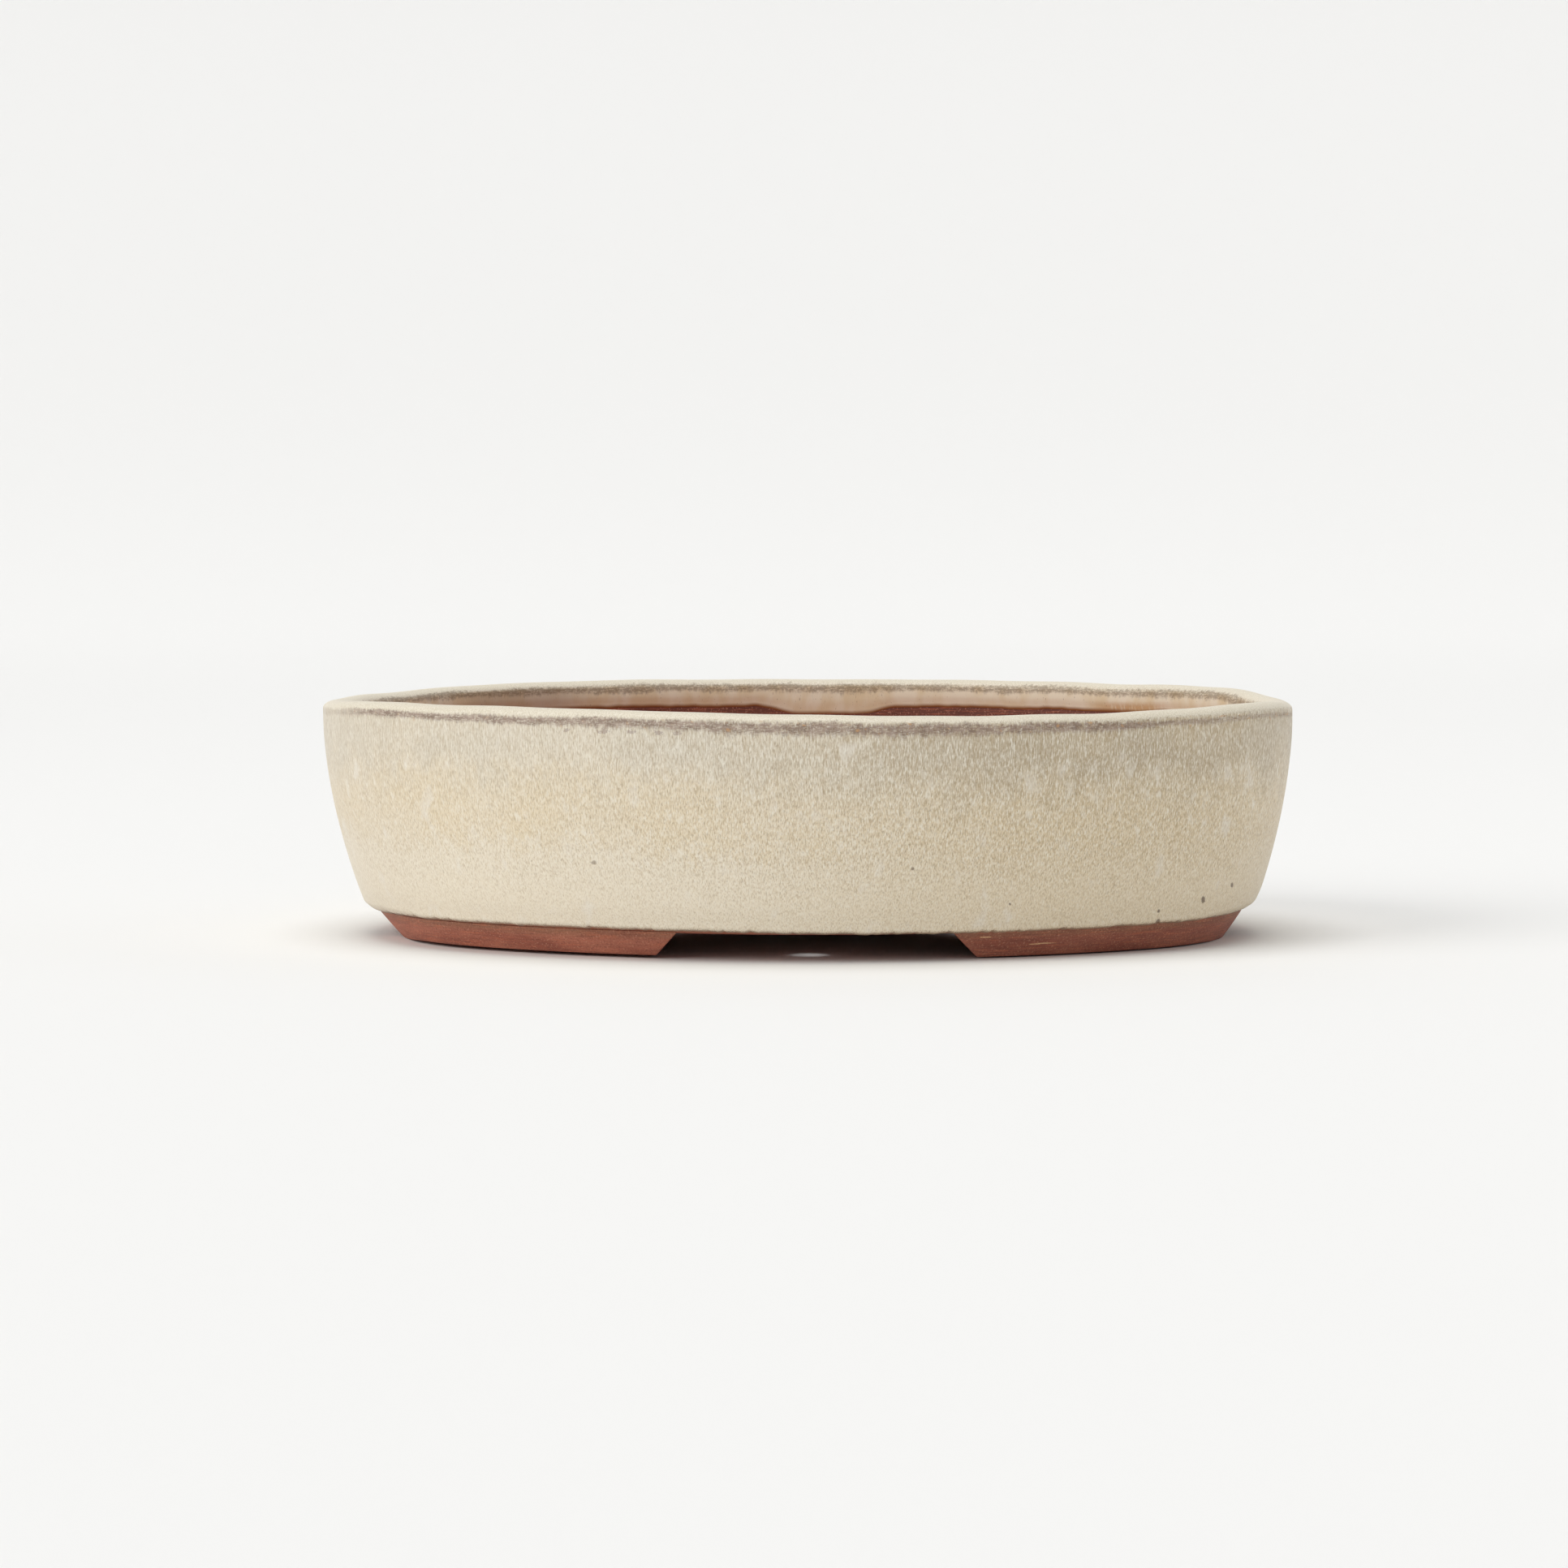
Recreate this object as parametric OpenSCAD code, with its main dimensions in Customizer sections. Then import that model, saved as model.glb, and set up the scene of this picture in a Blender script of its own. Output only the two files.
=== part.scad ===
// Shallow oval bonsai pot: a red stoneware wall and floor on four cut feet, a cream glaze coat that
// stops short of the foot, and the plastic screens and wire clips that keep soil off the drain holes.
// Origin at the middle of the footprint on the table, X along the pot, Y to the back, Z up.

/* [Pot] */
// Length over the glazed wall
pot_length = 220; // [190:1:250]
// Width from front to back over the glazed wall
pot_width = 165; // [150:1:185]
// Height from the table to the top of the rim
pot_height = 54; // [46:1:70]

/* [Wall] */
// Thickness of wall and glaze together at the rim
wall_t = 6.5; // [5:0.1:8]
// Thickness of the glaze
glaze_t = 0.8; // [0.4:0.1:1.2]
// Height of the rounded top of the rim
rim_round = 1.8; // [1.5:0.1:3]
// Height of the straight stretch of wall below the rounded rim
rim_straight = 2.2; // [1:0.1:4]
// How far the wall draws in from the rim to the table
wall_taper = 11.9; // [6:0.1:16]
// How sharply the wall curves in towards its base
taper_power = 1.8; // [1.2:0.1:3]
// How much thicker the wall is just above the floor
base_thickening = 8; // [4:0.5:10]
// Radius of the inside corner between wall and floor
corner_r = 5; // [3:0.5:8]
// How far the glaze comes down inside the rim
inside_glaze = 6.5; // [4:0.5:12]
// Height of the rolled lower lip of the glazed wall
lip_roll = 2.4; // [1.5:0.1:4]

/* [Floor] */
// Thickness of the floor
floor_t = 6; // [4:0.5:9]
// Distance from the outside of the rim in to the edge of the floor slab
slab_inset = 19.5; // [18:0.5:24]
// Diameter of a drain hole
drain_d = 20; // [16:1:24]
// Distance between the two drain holes
drain_spacing = 84; // [70:1:96]
// Diameter of a tie-wire hole
tie_hole_d = 6; // [4:0.5:9]
// Distance between the front and the back tie-wire hole
tie_hole_spacing = 108; // [80:1:110]

/* [Feet] */
// Height of the feet
foot_h = 5.5; // [5:0.5:9]
// Inset of a foot's outer face under the glaze
foot_top_inset = 12.4; // [12:0.1:14]
// Inset of a foot's outer face on the table
foot_bottom_inset = 15.5; // [15:0.1:18]
// Width of a foot on the table
foot_w = 8.5; // [6:0.5:12]
// Width of the front and back gaps on the table
long_gap = 69.6; // [50:0.2:90]
// Width of the end gaps on the table
end_gap = 22; // [14:0.5:40]
// How far each cut end of a foot leans over its gap
cut_lean = 4.8; // [0:0.2:6]

/* [Drain screens] */
// Size of one opening in the mesh
mesh_hole = 2; // [1.8:0.1:3]
// Width of one strand of the mesh
mesh_strand = 1; // [0.8:0.1:1.4]
// Number of openings along each side of the mesh
mesh_count = 11; // [11:2:15]
// Thickness of the mesh
mesh_t = 1.6; // [1:0.1:2.5]
// Diameter of the clip wire
wire_d = 1.5; // [1:0.1:1.6]
// Inside bend of the clip wire, measured to its middle
wire_bend = 1.2; // [1:0.1:1.5]
// Reach of a clip leg under the floor
toe_reach = 16.5; // [13:0.5:18]

/* [Hidden] */
$fn = 128;
clay = [0.55, 0.32, 0.25];
cream = [0.83, 0.77, 0.66];
black_plastic = [0.12, 0.12, 0.12];
bare_wire = [0.78, 0.78, 0.79];

// Plan of the rim: two end arcs and two side arcs. The middle of the pot, the centre of an end arc
// and the centre of a side arc make a 3-4-5 triangle, so the arcs meet at a common tangent.
half_l = pot_length / 2;
half_w = pot_width / 2;
centre_gap = 5 * (half_l - half_w) / 2;
end_x = 3 / 5 * centre_gap;
side_y = 4 / 5 * centre_gap;
end_r = half_l - end_x;
side_r = half_w + side_y;

// Heights of the wall and its rim.
shoulder_z = pot_height - rim_round;
taper_z = shoulder_z - rim_straight;
floor_z = foot_h + floor_t;
corner_z = floor_z + corner_r;
inside_edge_z = pot_height - inside_glaze;
lip_top_z = foot_h + lip_roll;

wall_steps = 11;
rim_steps = 12;
corner_steps = 4;
lip_steps = 4;

mesh_pitch = mesh_hole + mesh_strand;
wire_r = wire_d / 2;
toe_gap = 0.1;
bar_z = floor_z + mesh_t + wire_r;
toe_z = foot_h - wire_r - toe_gap;
loop_r = mesh_pitch + wire_bend;
loop_x = mesh_pitch + loop_r;
cut = 1;
reach = pot_length / 3;
edge_round = 0.6;
grid_per_mm = 100;

// Distance of the glazed outside of the wall in from the rim, at height z.
function draw_in(z) = wall_taper * pow(max(0, 1 - z / taper_z), taper_power);

// Distance of the bare inside of the wall in from the rim, at height z.
function inner_side(z) = wall_t - glaze_t
    + base_thickening * pow((shoulder_z - z) / (shoulder_z - floor_z), taper_power);

// Points [inset, z] from the outer to the inner shoulder over the top, skin below the glazed surface.
function rim_arc(skin) = [for (i = [0 : rim_steps]) let (t = 180 * i / rim_steps)
    [wall_t / 2 - (wall_t / 2 - skin) * cos(t), shoulder_z + (rim_round - skin) * sin(t)]];

// Points up the outside of the wall from the lower lip to just below the shoulder.
function outside(skin) = [for (i = [0 : wall_steps - 1])
    let (z = lip_top_z + (shoulder_z - lip_top_z) * i / wall_steps) [draw_in(z) + skin, z]];

// Points down the bare inside of the wall from the glaze's edge to the top of the corner.
function inside() = [for (i = [0 : wall_steps])
    let (z = inside_edge_z + (corner_z - inside_edge_z) * i / wall_steps) [inner_side(z), z]];

// Points of the rounded corner between the wall and the floor.
function corner_arc() = [for (i = [1 : corner_steps]) let (t = 90 * i / corner_steps)
    [slab_inset - (slab_inset - inner_side(corner_z)) * cos(t), corner_z - corner_r * sin(t)]];

// Points of the rolled lower lip, from the top of a foot out to the wall's face.
function lip_arc(skin) = [for (i = [0 : lip_steps - 1]) let (t = 90 * i / lip_steps)
    [foot_top_inset - (foot_top_inset - draw_in(lip_top_z) - skin) * sin(t),
        lip_top_z - (lip_roll - skin) * cos(t)]];

function reversed(points) = [for (i = [len(points) - 1 : -1 : 0]) points[i]];

// Prism over the part of the plan where the right-hand end arc runs.
module end_wedge() {
    translate([end_x, 0, -cut]) linear_extrude(height = pot_height + 2 * cut)
        polygon([[0, 0], [3 * reach, -4 * reach], [3 * reach, 4 * reach]]);
}

// Prism over the part of the plan where the back side arc runs.
module side_wedge() {
    translate([0, -side_y, -cut]) linear_extrude(height = pot_height + 2 * cut)
        polygon([[0, 0], [3 * reach, 4 * reach], [-3 * reach, 4 * reach]]);
}

// Section at a distance of radius from an arc's centre, for an outline of [inset, z] points. Its points
// lie on a 0.01 mm grid, so that the sections of two arcs are the same where they meet.
module section(radius, outline) {
    polygon([for (p = outline) [
        radius - round(p[0] * grid_per_mm) / grid_per_mm,
        round(p[1] * grid_per_mm) / grid_per_mm]]);
}

// Turns an outline of [inset, z] points about the centre of the right-hand end arc.
module end_part(outline) {
    intersection() {
        translate([end_x, 0, 0]) rotate_extrude() section(end_r, outline);
        end_wedge();
    }
}

// Turns an outline of [inset, z] points about the centre of the back side arc.
module side_part(outline) {
    intersection() {
        translate([0, -side_y, 0]) rotate_extrude() section(side_r, outline);
        side_wedge();
    }
}

// Carries an outline of [inset, z] points around the whole plan.
module oval_ring(outline) {
    for (turn = [0, 180]) rotate([0, 0, turn]) {
        end_part(outline);
        side_part(outline);
    }
}

// Solid oval plate whose edge is inset from the rim, between two heights.
module oval_plate(inset, z0, z1) {
    for (turn = [0, 180]) rotate([0, 0, turn]) {
        intersection() {
            translate([end_x, 0, z0]) cylinder(h = z1 - z0, r = end_r - inset);
            end_wedge();
        }
        intersection() {
            translate([0, -side_y, z0]) cylinder(h = z1 - z0, r = side_r - inset);
            side_wedge();
        }
    }
}

module floor_hole(x, y, d) {
    translate([x, y, foot_h - cut]) cylinder(h = floor_t + 2 * cut, d = d);
}

module floor_slab() {
    color(clay) difference() {
        oval_plate(slab_inset, foot_h, floor_z);
        for (side = [-1, 1]) {
            floor_hole(side * drain_spacing / 2, 0, drain_d);
            floor_hole(0, side * tie_hole_spacing / 2, tie_hole_d);
        }
    }
}

module wall() {
    color(clay) oval_ring(concat(
        lip_arc(glaze_t), outside(glaze_t), rim_arc(glaze_t), inside(), corner_arc(),
        [[slab_inset, foot_h], [foot_top_inset, foot_h]]));
}

module glaze_coat() {
    edge = inner_side(inside_edge_z);
    color(cream) oval_ring(concat(
        lip_arc(0), outside(0), rim_arc(0),
        [[wall_t, inside_edge_z], [edge, inside_edge_z - glaze_t], [edge, inside_edge_z]],
        reversed(rim_arc(glaze_t)), reversed(outside(glaze_t)), reversed(lip_arc(glaze_t))));
}

// Block that cuts a foot's end: it lies to the left of a plane that leans over the gap, along Y.
module end_cutter(gap) {
    lean = cut_lean / foot_h;
    translate([0, pot_length, 0]) rotate([90, 0, 0]) linear_extrude(height = 2 * pot_length)
        polygon([[-pot_length, -cut], [gap / 2 + lean * cut, -cut],
            [gap / 2 - lean * (foot_h + cut), foot_h + cut], [-pot_length, foot_h + cut]]);
}

// One foot, in the corner of the pot that the signs x_side and y_side give.
module foot(x_side, y_side) {
    outline = [[foot_top_inset, foot_h], [foot_bottom_inset - edge_round, edge_round],
        [foot_bottom_inset, 0], [foot_bottom_inset + foot_w, 0],
        [foot_bottom_inset + foot_w + edge_round, foot_h]];
    color(clay) mirror([x_side < 0 ? 1 : 0, 0, 0]) mirror([0, y_side < 0 ? 1 : 0, 0]) difference() {
        union() {
            end_part(outline);
            side_part(outline);
        }
        end_cutter(long_gap);
        mirror([1, -1, 0]) end_cutter(end_gap);
    }
}

module foot_front_left() { foot(-1, -1); }
module foot_front_right() { foot(1, -1); }
module foot_back_left() { foot(-1, 1); }
module foot_back_right() { foot(1, 1); }

// Square plastic screen over the drain hole on one side of the pot.
module drain_mesh(x_side) {
    size = mesh_count * mesh_pitch + mesh_strand;
    color(black_plastic) translate([x_side * drain_spacing / 2 - size / 2, -size / 2, floor_z])
        linear_extrude(height = mesh_t) difference() {
            square(size);
            for (row = [0 : mesh_count - 1], column = [0 : mesh_count - 1])
                translate([mesh_strand + row * mesh_pitch, mesh_strand + column * mesh_pitch])
                    square(mesh_hole);
        }
}

module drain_mesh_left() { drain_mesh(-1); }
module drain_mesh_right() { drain_mesh(1); }

// Bend of the clip wire: it starts at the origin heading along X and turns towards Y.
module wire_turn(bend, angle) {
    translate([0, bend, 0]) rotate([0, 0, -90]) rotate_extrude(angle = angle)
        translate([bend, 0]) circle(r = wire_r, $fn = 32);
}

// Half of a clip: half the bar, one flat loop on the mesh, a leg down the hole and a toe under the floor.
module clip_half() {
    leg_base = toe_z - bar_z + wire_bend;
    rotate([0, 90, 0]) cylinder(h = loop_x, r = wire_r, $fn = 32);
    translate([loop_x, 0, 0]) wire_turn(loop_r, 270);
    translate([mesh_pitch, loop_r, 0]) rotate([0, 90, 0]) rotate([0, 0, -90]) wire_turn(wire_bend, 90);
    translate([mesh_pitch, mesh_pitch, leg_base])
        cylinder(h = -wire_bend - leg_base, r = wire_r, $fn = 32);
    translate([mesh_pitch, mesh_pitch, leg_base]) rotate([0, 90, 0]) wire_turn(wire_bend, 90);
    translate([mesh_pitch, mesh_pitch + wire_bend, toe_z - bar_z]) rotate([-90, 0, 0])
        cylinder(h = toe_reach - mesh_pitch - wire_bend, r = wire_r, $fn = 32);
}

module mesh_clip(x_side) {
    color(bare_wire) translate([x_side * drain_spacing / 2, 0, bar_z])
        for (turn = [0, 180]) rotate([0, 0, turn]) clip_half();
}

module mesh_clip_left() { mesh_clip(-1); }
module mesh_clip_right() { mesh_clip(1); }

floor_slab();
wall();
foot_front_left();
foot_front_right();
foot_back_left();
foot_back_right();
glaze_coat();
drain_mesh_left();
drain_mesh_right();
mesh_clip_left();
mesh_clip_right();
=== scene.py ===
import math

import bmesh
import bpy
import numpy as np
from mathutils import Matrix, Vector


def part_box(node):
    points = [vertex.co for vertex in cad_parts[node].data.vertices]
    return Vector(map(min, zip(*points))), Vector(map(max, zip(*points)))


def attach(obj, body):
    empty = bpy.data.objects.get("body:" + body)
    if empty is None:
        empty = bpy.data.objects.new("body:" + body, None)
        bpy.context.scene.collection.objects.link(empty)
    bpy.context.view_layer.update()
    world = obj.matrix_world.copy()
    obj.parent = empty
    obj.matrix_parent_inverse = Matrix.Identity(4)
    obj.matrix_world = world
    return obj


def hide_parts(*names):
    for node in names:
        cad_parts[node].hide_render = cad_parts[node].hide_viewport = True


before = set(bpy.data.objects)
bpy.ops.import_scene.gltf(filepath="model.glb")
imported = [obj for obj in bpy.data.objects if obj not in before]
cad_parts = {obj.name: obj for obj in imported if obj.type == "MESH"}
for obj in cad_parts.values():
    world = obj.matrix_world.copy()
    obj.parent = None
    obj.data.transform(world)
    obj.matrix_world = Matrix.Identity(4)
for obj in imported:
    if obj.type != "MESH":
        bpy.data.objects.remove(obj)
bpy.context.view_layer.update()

# Meshes are worked out in millimetres in the shared frame and written in metres.
MM = 0.001

# ---------------------------------------------------------------- sizes from the frame
glaze_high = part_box("glaze_coat")[1] / MM
slab_low, slab_high = (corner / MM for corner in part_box("floor_slab"))
foot_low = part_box("foot_back_right")[0] / MM
mesh_low, mesh_high = (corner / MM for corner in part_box("drain_mesh_right"))
clip_low, clip_high = (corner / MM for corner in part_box("mesh_clip_right"))

HALF_L, HALF_W, TOP_Z = glaze_high
UNDER_Z, FLOOR_Z = slab_low.z, slab_high.z

# Plan of the rim: two end arcs and two side arcs laid out on a 3-4-5 triangle.
CENTRE_GAP = 5 * (HALF_L - HALF_W) / 2
END_X, SIDE_Y = 3 / 5 * CENTRE_GAP, 4 / 5 * CENTRE_GAP
END_R, SIDE_R = HALF_L - END_X, HALF_W + SIDE_Y
END_SPAN = math.atan2(4, 3)
END_LENGTH = END_R * END_SPAN
QUARTER = END_LENGTH + SIDE_R * (math.pi / 2 - END_SPAN)
RIM_LENGTH = 4 * QUARTER

# Section of the wall, as insets from the rim and heights.
WALL_T, GLAZE_T, RIM_ROUND, RIM_STRAIGHT = 6.5, 0.8, 1.8, 2.2
SHOULDER_Z = TOP_Z - RIM_ROUND
TAPER, TAPER_Z, TAPER_POWER = 11.9, SHOULDER_Z - RIM_STRAIGHT, 1.8
BASE_THICKENING, CORNER_R = 8.0, 5.0
SLAB_INSET = HALF_L - slab_high.x
# The glaze ends in a lip this far in at the bottom, and this far below the top inside the pot.
LIP_INSET, INNER_EDGE = 12.4, 6.3
# Height of the lip's roll and how flat it is: soft at the ends of the pot, crisp along its sides.
SOFT_ROLL, SOFT_FLATNESS = 2.4, 1.35
CRISP_ROLL, CRISP_FLATNESS = 1.4, 1.0
LIP_TOP = UNDER_Z + SOFT_ROLL

# Feet.
LONG_GAP_TOP, END_GAP_TOP, CUT_LEAN = foot_low.x, foot_low.y, 4.8
FOOT_BOTTOM_INSET, FOOT_W = 15.5, 8.5
FOOT_TOP_Z = UNDER_Z + 0.75

# Unevenness: how far the rim rises at 16 even steps along it, from the right-hand end round by the back,
# and how far the pot leans to the right low down and to the left at the rim.
RIM_HEIGHTS = [-0.95, 0.1, -0.1, 0.0, -0.15, 0.05, -0.15, -0.95,
               -0.9, 0.55, 0.95, 0.7, 0.05, -0.4, -0.4, 0.25]
LEAN_LOW, LEAN_HIGH = 1.2, 0.25
# How far the glaze's lower edge lies above the floor's underside, at the same 16 steps.
LIP_HEIGHTS = [0.9, 0.3, 0.2, 0.3, 0.3, 0.3, 0.2, 0.1, 0.2, 0.85, 1.0, 1.0, 0.6, 0.45, 0.5, 0.7]
# Left and right feet: how far the outer edge stays off the table, how much further in the toe is at the
# end of the pot, and how much further out than designed the foot is cut at the long gap.
FOOT_LIFT = {-1: 0.75, 1: 0.35}
FOOT_TUCK = {-1: 1.7, 1: 0.9}
FOOT_CUT = {-1: 0.0, 1: 0.9}

# Holes, mesh and wire.
DRAIN_X, DRAIN_R = (mesh_low.x + mesh_high.x) / 2, 10.0
TIE_Y, TIE_R = 54.0, 3.0
MESH_PITCH, STRAND_R = 3.0, 0.5
WIRE_R, WIRE_BEND = 0.75, 1.2

# Small marks on the front of the pot: x, z, half width and half height.
IRON_SPECKS = [(-46.3, 21.6, 0.6, 0.45), (22.4, 20.8, 0.35, 0.35), (87.2, 11.1, 0.45, 0.8),
               (94.1, 13.7, 0.3, 0.6), (76.8, 6.9, 0.5, 0.6), (43.6, 12.5, 0.25, 0.3),
               (76.9, 9.3, 0.3, 0.4)]
RIM_BLOTCHES = [(-44.0, 50.3, 1.3, 0.5), (-38.0, 50.3, 0.9, 0.45), (-32.0, 50.2, 1.0, 0.5),
                (-28.0, 50.1, 0.8, 0.4), (-52.0, 50.4, 0.7, 0.4)]
SCRATCHES = [(51.5, 3.0, 2.4, 0.13), (49.5, 2.9, 1.2, 0.12), (38.5, 4.9, 1.2, 0.14)]


# ---------------------------------------------------------------- plan and section
def plan_angles(count):
    """Directions of the outward normal at evenly spaced places along the rim, from the right-hand end."""
    along = (np.arange(count) + 0.5) / count * RIM_LENGTH
    quarter, rest = np.divmod(along, QUARTER)
    rest = np.where(quarter % 2 == 0, rest, QUARTER - rest)
    angle = np.where(rest < END_LENGTH, rest / END_R, END_SPAN + (rest - END_LENGTH) / SIDE_R)
    half_turns = np.floor((quarter + 1) / 2) * math.pi
    return np.where(quarter % 2 == 0, half_turns + angle, half_turns - angle)


def plan_point(angle, inset):
    """X and Y of the place with that normal direction, moved in from the rim by inset."""
    across, up = np.cos(angle), np.sin(angle)
    on_end = np.arctan2(np.abs(up), np.abs(across)) < END_SPAN
    x = np.where(on_end, np.sign(across) * END_X + (END_R - inset) * across, (SIDE_R - inset) * across)
    y = np.where(on_end, (END_R - inset) * up, (SIDE_R - inset) * up - np.sign(up) * SIDE_Y)
    return x, y


def draw_in(z):
    """Inset of the glazed outside of the wall at a height."""
    return TAPER * np.maximum(0, 1 - z / TAPER_Z) ** TAPER_POWER


def inner_side(z):
    """Inset of the bare inside of the wall at a height."""
    down = (SHOULDER_Z - z) / (SHOULDER_Z - FLOOR_Z)
    return WALL_T - GLAZE_T + BASE_THICKENING * np.maximum(0, down) ** TAPER_POWER


def rim_arc(skin, count):
    """Points over the top of the rim from the outer to the inner shoulder, skin below the surface."""
    turn = np.linspace(0, math.pi, count)
    half = WALL_T / 2
    return np.stack([half - (half - skin) * np.cos(turn),
                     SHOULDER_Z + (RIM_ROUND - skin) * np.sin(turn)], 1)


def ripple(share, seed, low, high):
    """Smooth wander of about one unit along the rim, with low to high waves around it."""
    rng = np.random.default_rng(seed)
    waves = np.arange(low, high + 1)
    size = rng.normal(0, 1, len(waves)) / math.sqrt(len(waves))
    phase = rng.uniform(0, 2 * math.pi, len(waves))
    return sum(s * np.sin(2 * math.pi * w * share + p) for w, s, p in zip(waves, size, phase))


def notches(share, seed, count, low, high):
    """Small nicks at random places along the rim, as heights above an edge."""
    rng = np.random.default_rng(seed)
    height = np.zeros_like(share)
    for centre, half, top in zip(rng.uniform(0, 1, count), rng.uniform(0.3, 0.8, count),
                                 rng.uniform(low, high, count)):
        off = (np.mod(share - centre + 0.5, 1) - 0.5) * RIM_LENGTH / half
        height = np.maximum(height, top * np.exp(-off ** 2))
    return height


def smooth_step(low, high, value):
    """0 up to low and 1 from high on, with a soft rise between them."""
    t = np.clip((value - low) / (high - low), 0, 1)
    return t * t * (3 - 2 * t)


def around(share, values):
    """A smooth closed curve through values at even steps along the rim, from the right-hand end."""
    values = np.asarray(values, float)
    step, t = np.divmod(np.mod(share, 1) * len(values), 1)
    step = step.astype(int)
    a, b, c, d = (values[(step + k) % len(values)] for k in (-1, 0, 1, 2))
    return b + 0.5 * t * (c - a + t * (2 * a - 5 * b + 4 * c - d + t * (3 * (b - c) + d - a)))


def rim_share(x, y):
    """How far along the rim a place in the plan is, from 0 to 1, from the right-hand end by the back."""
    across, up = np.abs(x), np.abs(y)
    end_angle = np.arctan2(up, across - END_X)
    on_end = (across > END_X) & (end_angle < END_SPAN)
    side_angle = np.arctan2(up + SIDE_Y, across)
    length = np.where(on_end, END_R * end_angle, END_LENGTH + SIDE_R * (side_angle - END_SPAN))
    share = length / RIM_LENGTH
    share = np.where(x < 0, 0.5 - share, share)
    return np.where(y < 0, -share, share) % 1


def hand_made(points):
    """The small unevenness of a hand-built pot, which the glaze, the wall and the feet share."""
    x, y, z = points[..., 0], points[..., 1], points[..., 2]
    share = rim_share(x, y)
    height = np.clip((z - UNDER_Z) / (TOP_Z - UNDER_Z), 0, 1)
    rise = around(share, RIM_HEIGHTS) + 0.07 * ripple(share, seed=4, low=8, high=24)
    swell = 0.15 * ripple(share, seed=9, low=2, high=7) * np.clip(z / TOP_Z, 0, 1)
    near_table = np.clip(1 - z / 40, 0, 1) ** 1.5 * smooth_step(-100, -40, x)
    reach = np.maximum(np.hypot(x, y), 1)
    moved = points.copy()
    moved[..., 0] += swell * x / reach + LEAN_LOW * near_table - LEAN_HIGH * height ** 2
    moved[..., 1] += swell * y / reach
    moved[..., 2] += rise * height ** 2
    return moved


# ---------------------------------------------------------------- mesh building
def new_object(name, vertices, faces):
    """A smooth-shaded mesh object from points in millimetres."""
    mesh = bpy.data.meshes.new(name)
    mesh.from_pydata((np.asarray(vertices, float) * MM).tolist(), [], faces)
    mesh.polygons.foreach_set("use_smooth", [True] * len(mesh.polygons))
    mesh.update()
    made = bpy.data.objects.new(name, mesh)
    bpy.context.scene.collection.objects.link(made)
    return made


def grid_faces(rows, columns, wrap_rows, wrap_columns):
    """Quads of a grid of points, row after row."""
    r = np.arange(rows if wrap_rows else rows - 1)
    c = np.arange(columns if wrap_columns else columns - 1)
    r0, c0 = (a.ravel() for a in np.meshgrid(r, c, indexing="ij"))
    r1, c1 = (r0 + 1) % rows, (c0 + 1) % columns
    quads = [r0 * columns + c0, r0 * columns + c1, r1 * columns + c1, r1 * columns + c0]
    return np.stack(quads, 1).tolist()


def ring_piece(name, inset, z, angles):
    """A closed ring, from insets and heights with a row for each place around its section."""
    x, y = plan_point(angles[None, :], inset)
    points = hand_made(np.stack([x, y, z], 2))
    rows, columns = x.shape
    return new_object(name, points.reshape(-1, 3), grid_faces(rows, columns, True, True))


def set_attribute(piece, name, values):
    """Stores a value at each vertex for the piece's material to read."""
    layer = piece.data.attributes.new(name, "FLOAT", "POINT")
    layer.data.foreach_set("value", np.asarray(values, np.float32).ravel())


def tube(path, radius, sides):
    """Vertices and faces of a round tube with domed ends, along a path that starts level."""
    ahead = np.gradient(path, axis=0)
    ahead /= np.linalg.norm(ahead, axis=1)[:, None]
    side = np.cross(ahead[0], [0, 0, 1])
    turn = np.linspace(0, 2 * math.pi, sides, endpoint=False)
    dome = [(step + 0.35) / 4 * math.pi / 2 for step in range(4)]
    dome_depth = 0.6
    rings = []
    for i, (place, way) in enumerate(zip(path, ahead)):
        side = side - way * np.dot(side, way)
        side /= np.linalg.norm(side)
        up = np.cross(way, side)
        ring = np.cos(turn)[:, None] * side + np.sin(turn)[:, None] * up
        if i == 0:
            for a in dome:
                rings.append(place - way * radius * dome_depth * math.cos(a) + ring * radius * math.sin(a))
        rings.append(place + ring * radius)
        if i == len(path) - 1:
            for a in reversed(dome):
                rings.append(place + way * radius * dome_depth * math.cos(a) + ring * radius * math.sin(a))
    rows = len(rings)
    faces = grid_faces(rows, sides, False, True)
    faces.append(list(range(sides)))
    faces.append([(rows - 1) * sides + k for k in reversed(range(sides))])
    return np.concatenate(rings), faces


def joined(name, parts):
    """One object from several (vertices, faces) parts."""
    vertices, faces, first = [], [], 0
    for part_vertices, part_faces in parts:
        vertices.append(part_vertices)
        faces += [[k + first for k in face] for face in part_faces]
        first += len(part_vertices)
    return new_object(name, np.concatenate(vertices), faces)


# ---------------------------------------------------------------- shader nodes
def node(tree, kind, settings=None, **inputs):
    """A shader node. Inputs are values or sockets, by name with _ for a space, or by i and their number."""
    made = tree.nodes.new(kind)
    for key, value in (settings or {}).items():
        setattr(made, key, value)
    for key, value in inputs.items():
        if key[0] == "i" and key[1:].isdigit():
            socket = made.inputs[int(key[1:])]
        else:
            socket = made.inputs[key.replace("_", " ")]
        if isinstance(value, bpy.types.NodeSocket):
            tree.links.new(value, socket)
        else:
            socket.default_value = value
    return made


def maths(tree, operation, a, b=0.0, c=0.0):
    """One step of arithmetic on values or sockets."""
    return node(tree, "ShaderNodeMath", {"operation": operation}, i0=a, i1=b, i2=c).outputs[0]


def product(tree, result, *factors):
    """Values or sockets multiplied from left to right."""
    for factor in factors:
        result = maths(tree, "MULTIPLY", result, factor)
    return result


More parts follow.
